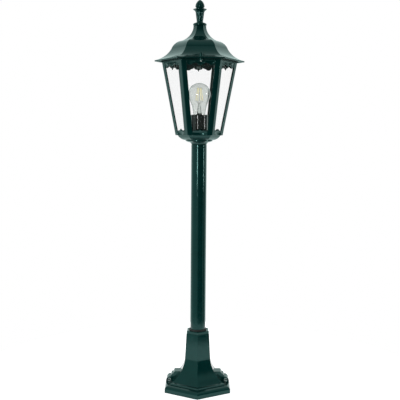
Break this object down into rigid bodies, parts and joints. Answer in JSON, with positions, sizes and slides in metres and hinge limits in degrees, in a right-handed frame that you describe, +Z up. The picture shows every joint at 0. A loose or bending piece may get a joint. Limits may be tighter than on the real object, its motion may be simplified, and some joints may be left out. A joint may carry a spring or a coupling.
{
  "type": "garden post lantern",
  "caption": "Short hexagonal post lantern: hollow cast foot, round pole, glazed tapered cage with pierced trim, domed lift-off roof with finial, screw-in bulb.",
  "frame": {"origin": "on the post's axis, on the ground under the foot", "axes": "+Z up; -Y is the front, a glazed face of the cage looks that way; +X is to the right seen from the front"},
  "size_m": [0.2414, 0.2132, 1.06],
  "materials": {
    "green_enamel": "high-gloss dark green enamel on cast metal",
    "pane_glass": "clear, polished",
    "bulb_glass": "clear, polished",
    "black_rubber": "matt",
    "black_bakelite": "gloss",
    "porcelain": "glazed",
    "brass": "satin",
    "terminal_plastic": "matt",
    "lead_sheath": "matt",
    "bulb_insulator": "satin, with a soldered contact",
    "filament": "matt phosphor coat",
    "plated_steel": "zinc plated"
  },
  "bodies": {
    "post": {"cage_screws": "plated_steel", "cage_top_ring": "green_enamel", "corner_bar_back_left": "green_enamel", "corner_bar_back_right": "green_enamel", "corner_bar_front_left": "green_enamel", "corner_bar_front_right": "green_enamel", "corner_bar_left": "green_enamel", "corner_bar_right": "green_enamel", "dish_casting": "green_enamel", "foot_casting": "green_enamel", "frieze_back": "green_enamel", "frieze_back_left": "green_enamel", "frieze_back_right": "green_enamel", "frieze_front": "green_enamel", "frieze_front_left": "green_enamel", "frieze_front_right": "green_enamel", "gallery_back": "green_enamel", "gallery_back_left": "green_enamel", "gallery_back_right": "green_enamel", "gallery_front": "green_enamel", "gallery_front_left": "green_enamel", "gallery_front_right": "green_enamel", "glass_pane_back": "pane_glass", "glass_pane_back_left": "pane_glass", "glass_pane_back_right": "pane_glass", "glass_pane_front": "pane_glass", "glass_pane_front_left": "pane_glass", "glass_pane_front_right": "pane_glass", "lampholder_cap": "black_bakelite", "lampholder_contact": "brass", "lampholder_core": "porcelain", "lampholder_shell": "brass", "lampholder_sleeve": "black_bakelite", "pane_clips": "plated_steel", "pole_seal": "black_rubber", "pole_top_plug": "green_enamel", "pole_tube": "green_enamel", "roof_gasket": "black_rubber", "strap_screw": "plated_steel", "supply_lead": "lead_sheath", "terminal_block": "terminal_plastic", "terminal_strap": "plated_steel", "tie_nuts": "plated_steel", "tie_tube": "plated_steel", "tie_washers": "plated_steel"},
    "roof": {"roof_casting": "green_enamel", "roof_disc": "green_enamel"},
    "finial_stud": {"finial_stud": "plated_steel"},
    "finial": {"finial": "green_enamel"},
    "bulb_travel": {"bulb_contact": "bulb_insulator"},
    "bulb": {"bulb_glass": "bulb_glass", "bulb_cap": "plated_steel", "bulb_mount": "bulb_glass", "bulb_filaments": "filament", "bulb_wires": "plated_steel"},
    "lock_stud_front": {"lock_stud_front": "plated_steel"},
    "lock_knob_front": {"lock_knob_front": "green_enamel"},
    "lock_stud_back": {"lock_stud_back": "plated_steel"},
    "lock_knob_back": {"lock_knob_back": "green_enamel"}
  },
  "joints": [
    {"name": "roof_lift", "type": "slide", "parent": "post", "child": "roof", "axis": [0, 0, 1], "range_m": [0, 0.15]},
    {"name": "lock_front_travel", "type": "slide", "parent": "roof", "child": "lock_stud_front", "axis": [0, 0, 1], "range_m": [0, 0.006]},
    {"name": "lock_front_turn", "type": "hinge", "parent": "lock_stud_front", "child": "lock_knob_front", "pos_m": [0.00331, -0.09494, 0.906], "axis": [0, 0, 1], "range_deg": [0, 2701]},
    {"name": "lock_back_travel", "type": "slide", "parent": "roof", "child": "lock_stud_back", "axis": [0, 0, 1], "range_m": [0, 0.006]},
    {"name": "lock_back_turn", "type": "hinge", "parent": "lock_stud_back", "child": "lock_knob_back", "pos_m": [-0.00331, 0.09494, 0.906], "axis": [0, 0, 1], "range_deg": [0, 2701]},
    {"name": "finial_travel", "type": "slide", "parent": "roof", "child": "finial_stud", "axis": [0, 0, 1], "range_m": [0, 0.012]},
    {"name": "finial_turn", "type": "hinge", "parent": "finial_stud", "child": "finial", "pos_m": [0, 0, 1], "axis": [0, 0, 1], "range_deg": [0, 3457]},
    {"name": "bulb_travel", "type": "slide", "parent": "post", "child": "bulb_travel", "axis": [0, 0, 1], "range_m": [0, 0.0145]},
    {"name": "bulb_turn", "type": "hinge", "parent": "bulb_travel", "child": "bulb", "pos_m": [0, 0, 0.75], "axis": [0, 0, 1], "range_deg": [0, 1440]}
  ],
  "couplings": [
    {"joint": "lock_front_turn", "follows": "lock_front_travel", "rad_per_m": 7854},
    {"joint": "lock_back_turn", "follows": "lock_back_travel", "rad_per_m": 7854},
    {"joint": "finial_turn", "follows": "finial_travel", "rad_per_m": 5026.5},
    {"joint": "bulb_turn", "follows": "bulb_travel", "rad_per_m": 1731.4}
  ]
}
